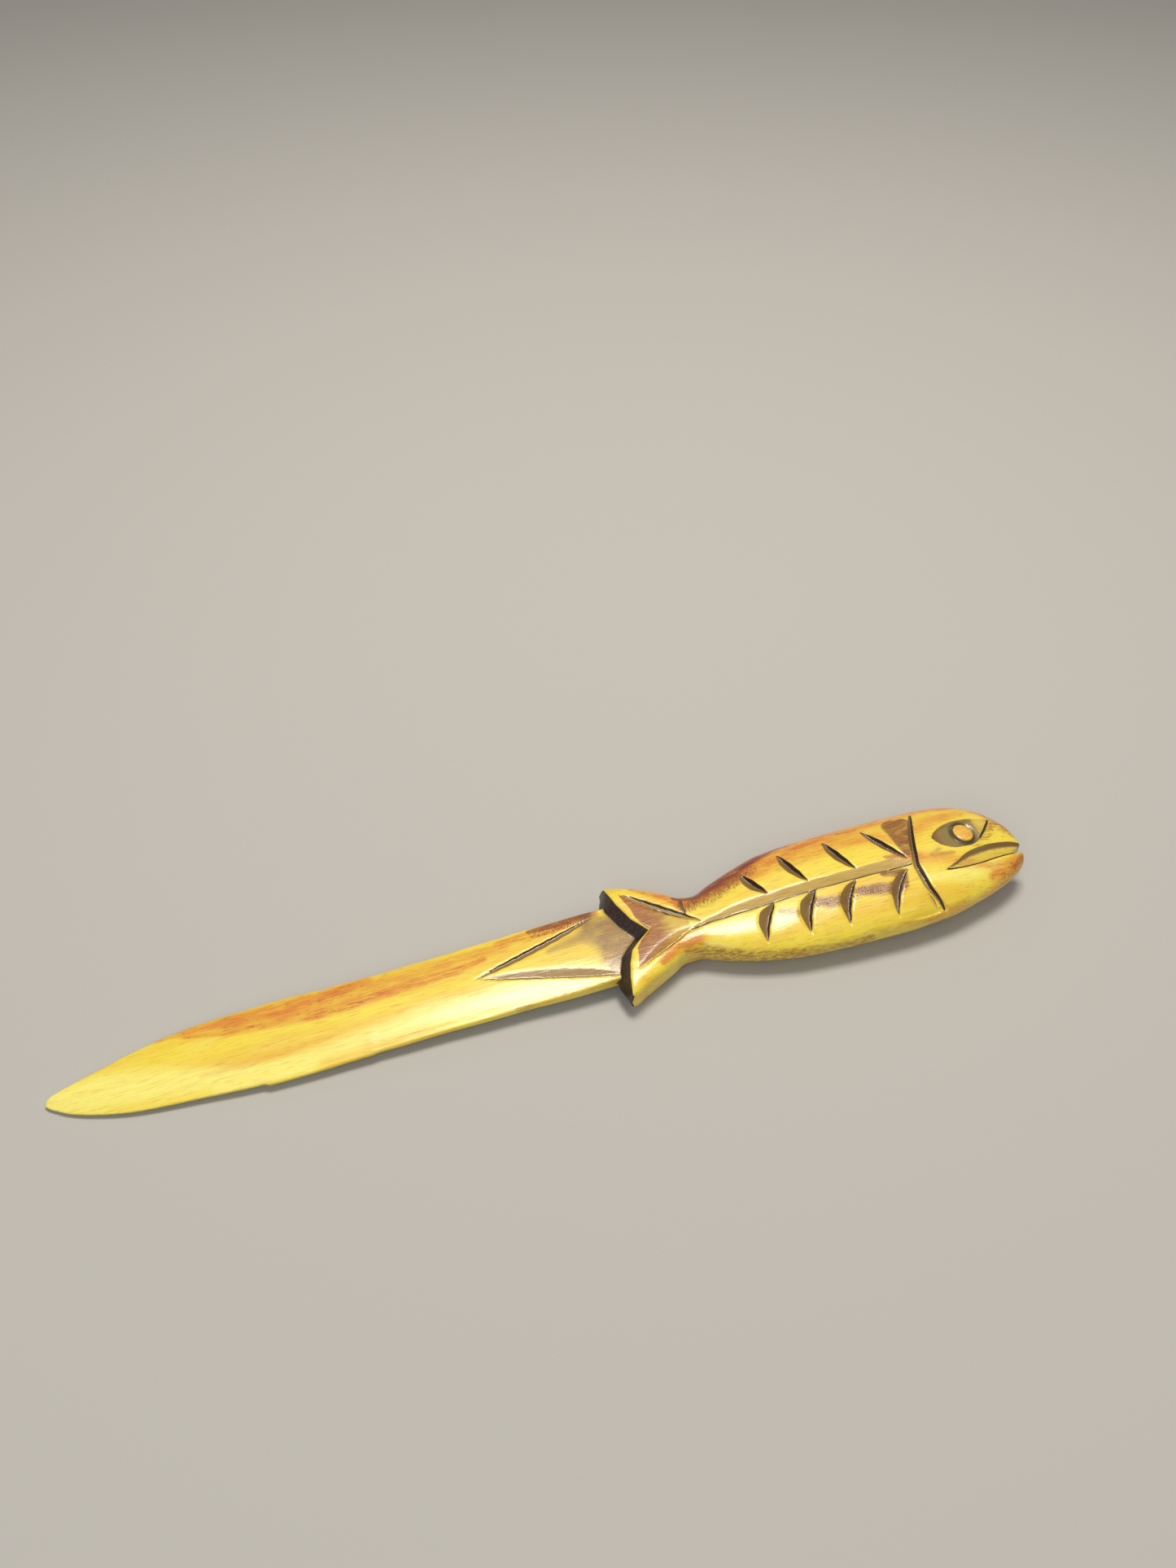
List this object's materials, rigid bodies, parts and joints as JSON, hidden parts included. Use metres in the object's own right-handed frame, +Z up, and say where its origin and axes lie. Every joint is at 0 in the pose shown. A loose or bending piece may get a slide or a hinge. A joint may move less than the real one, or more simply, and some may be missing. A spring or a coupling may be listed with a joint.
{
  "type": "letter opener",
  "caption": "Wooden letter opener carved from one piece: a paper-knife blade with a fish for its handle, with cut backbone, ribs, gill, eye and mouth.",
  "frame": {"origin": "under the middle of its box, on the surface that it lies on", "axes": "+X from the blade's tip towards the fish's snout, +Y towards the fish's back, +Z up, with the object lying on its blade tip and belly"},
  "size_m": [0.2348, 0.0334, 0.0122],
  "materials": {
    "carved_wood": "gloss varnish over a yellow wood with brown stain"
  },
  "bodies": {
    "root": {"letter_opener": "carved_wood"}
  },
  "joints": []
}
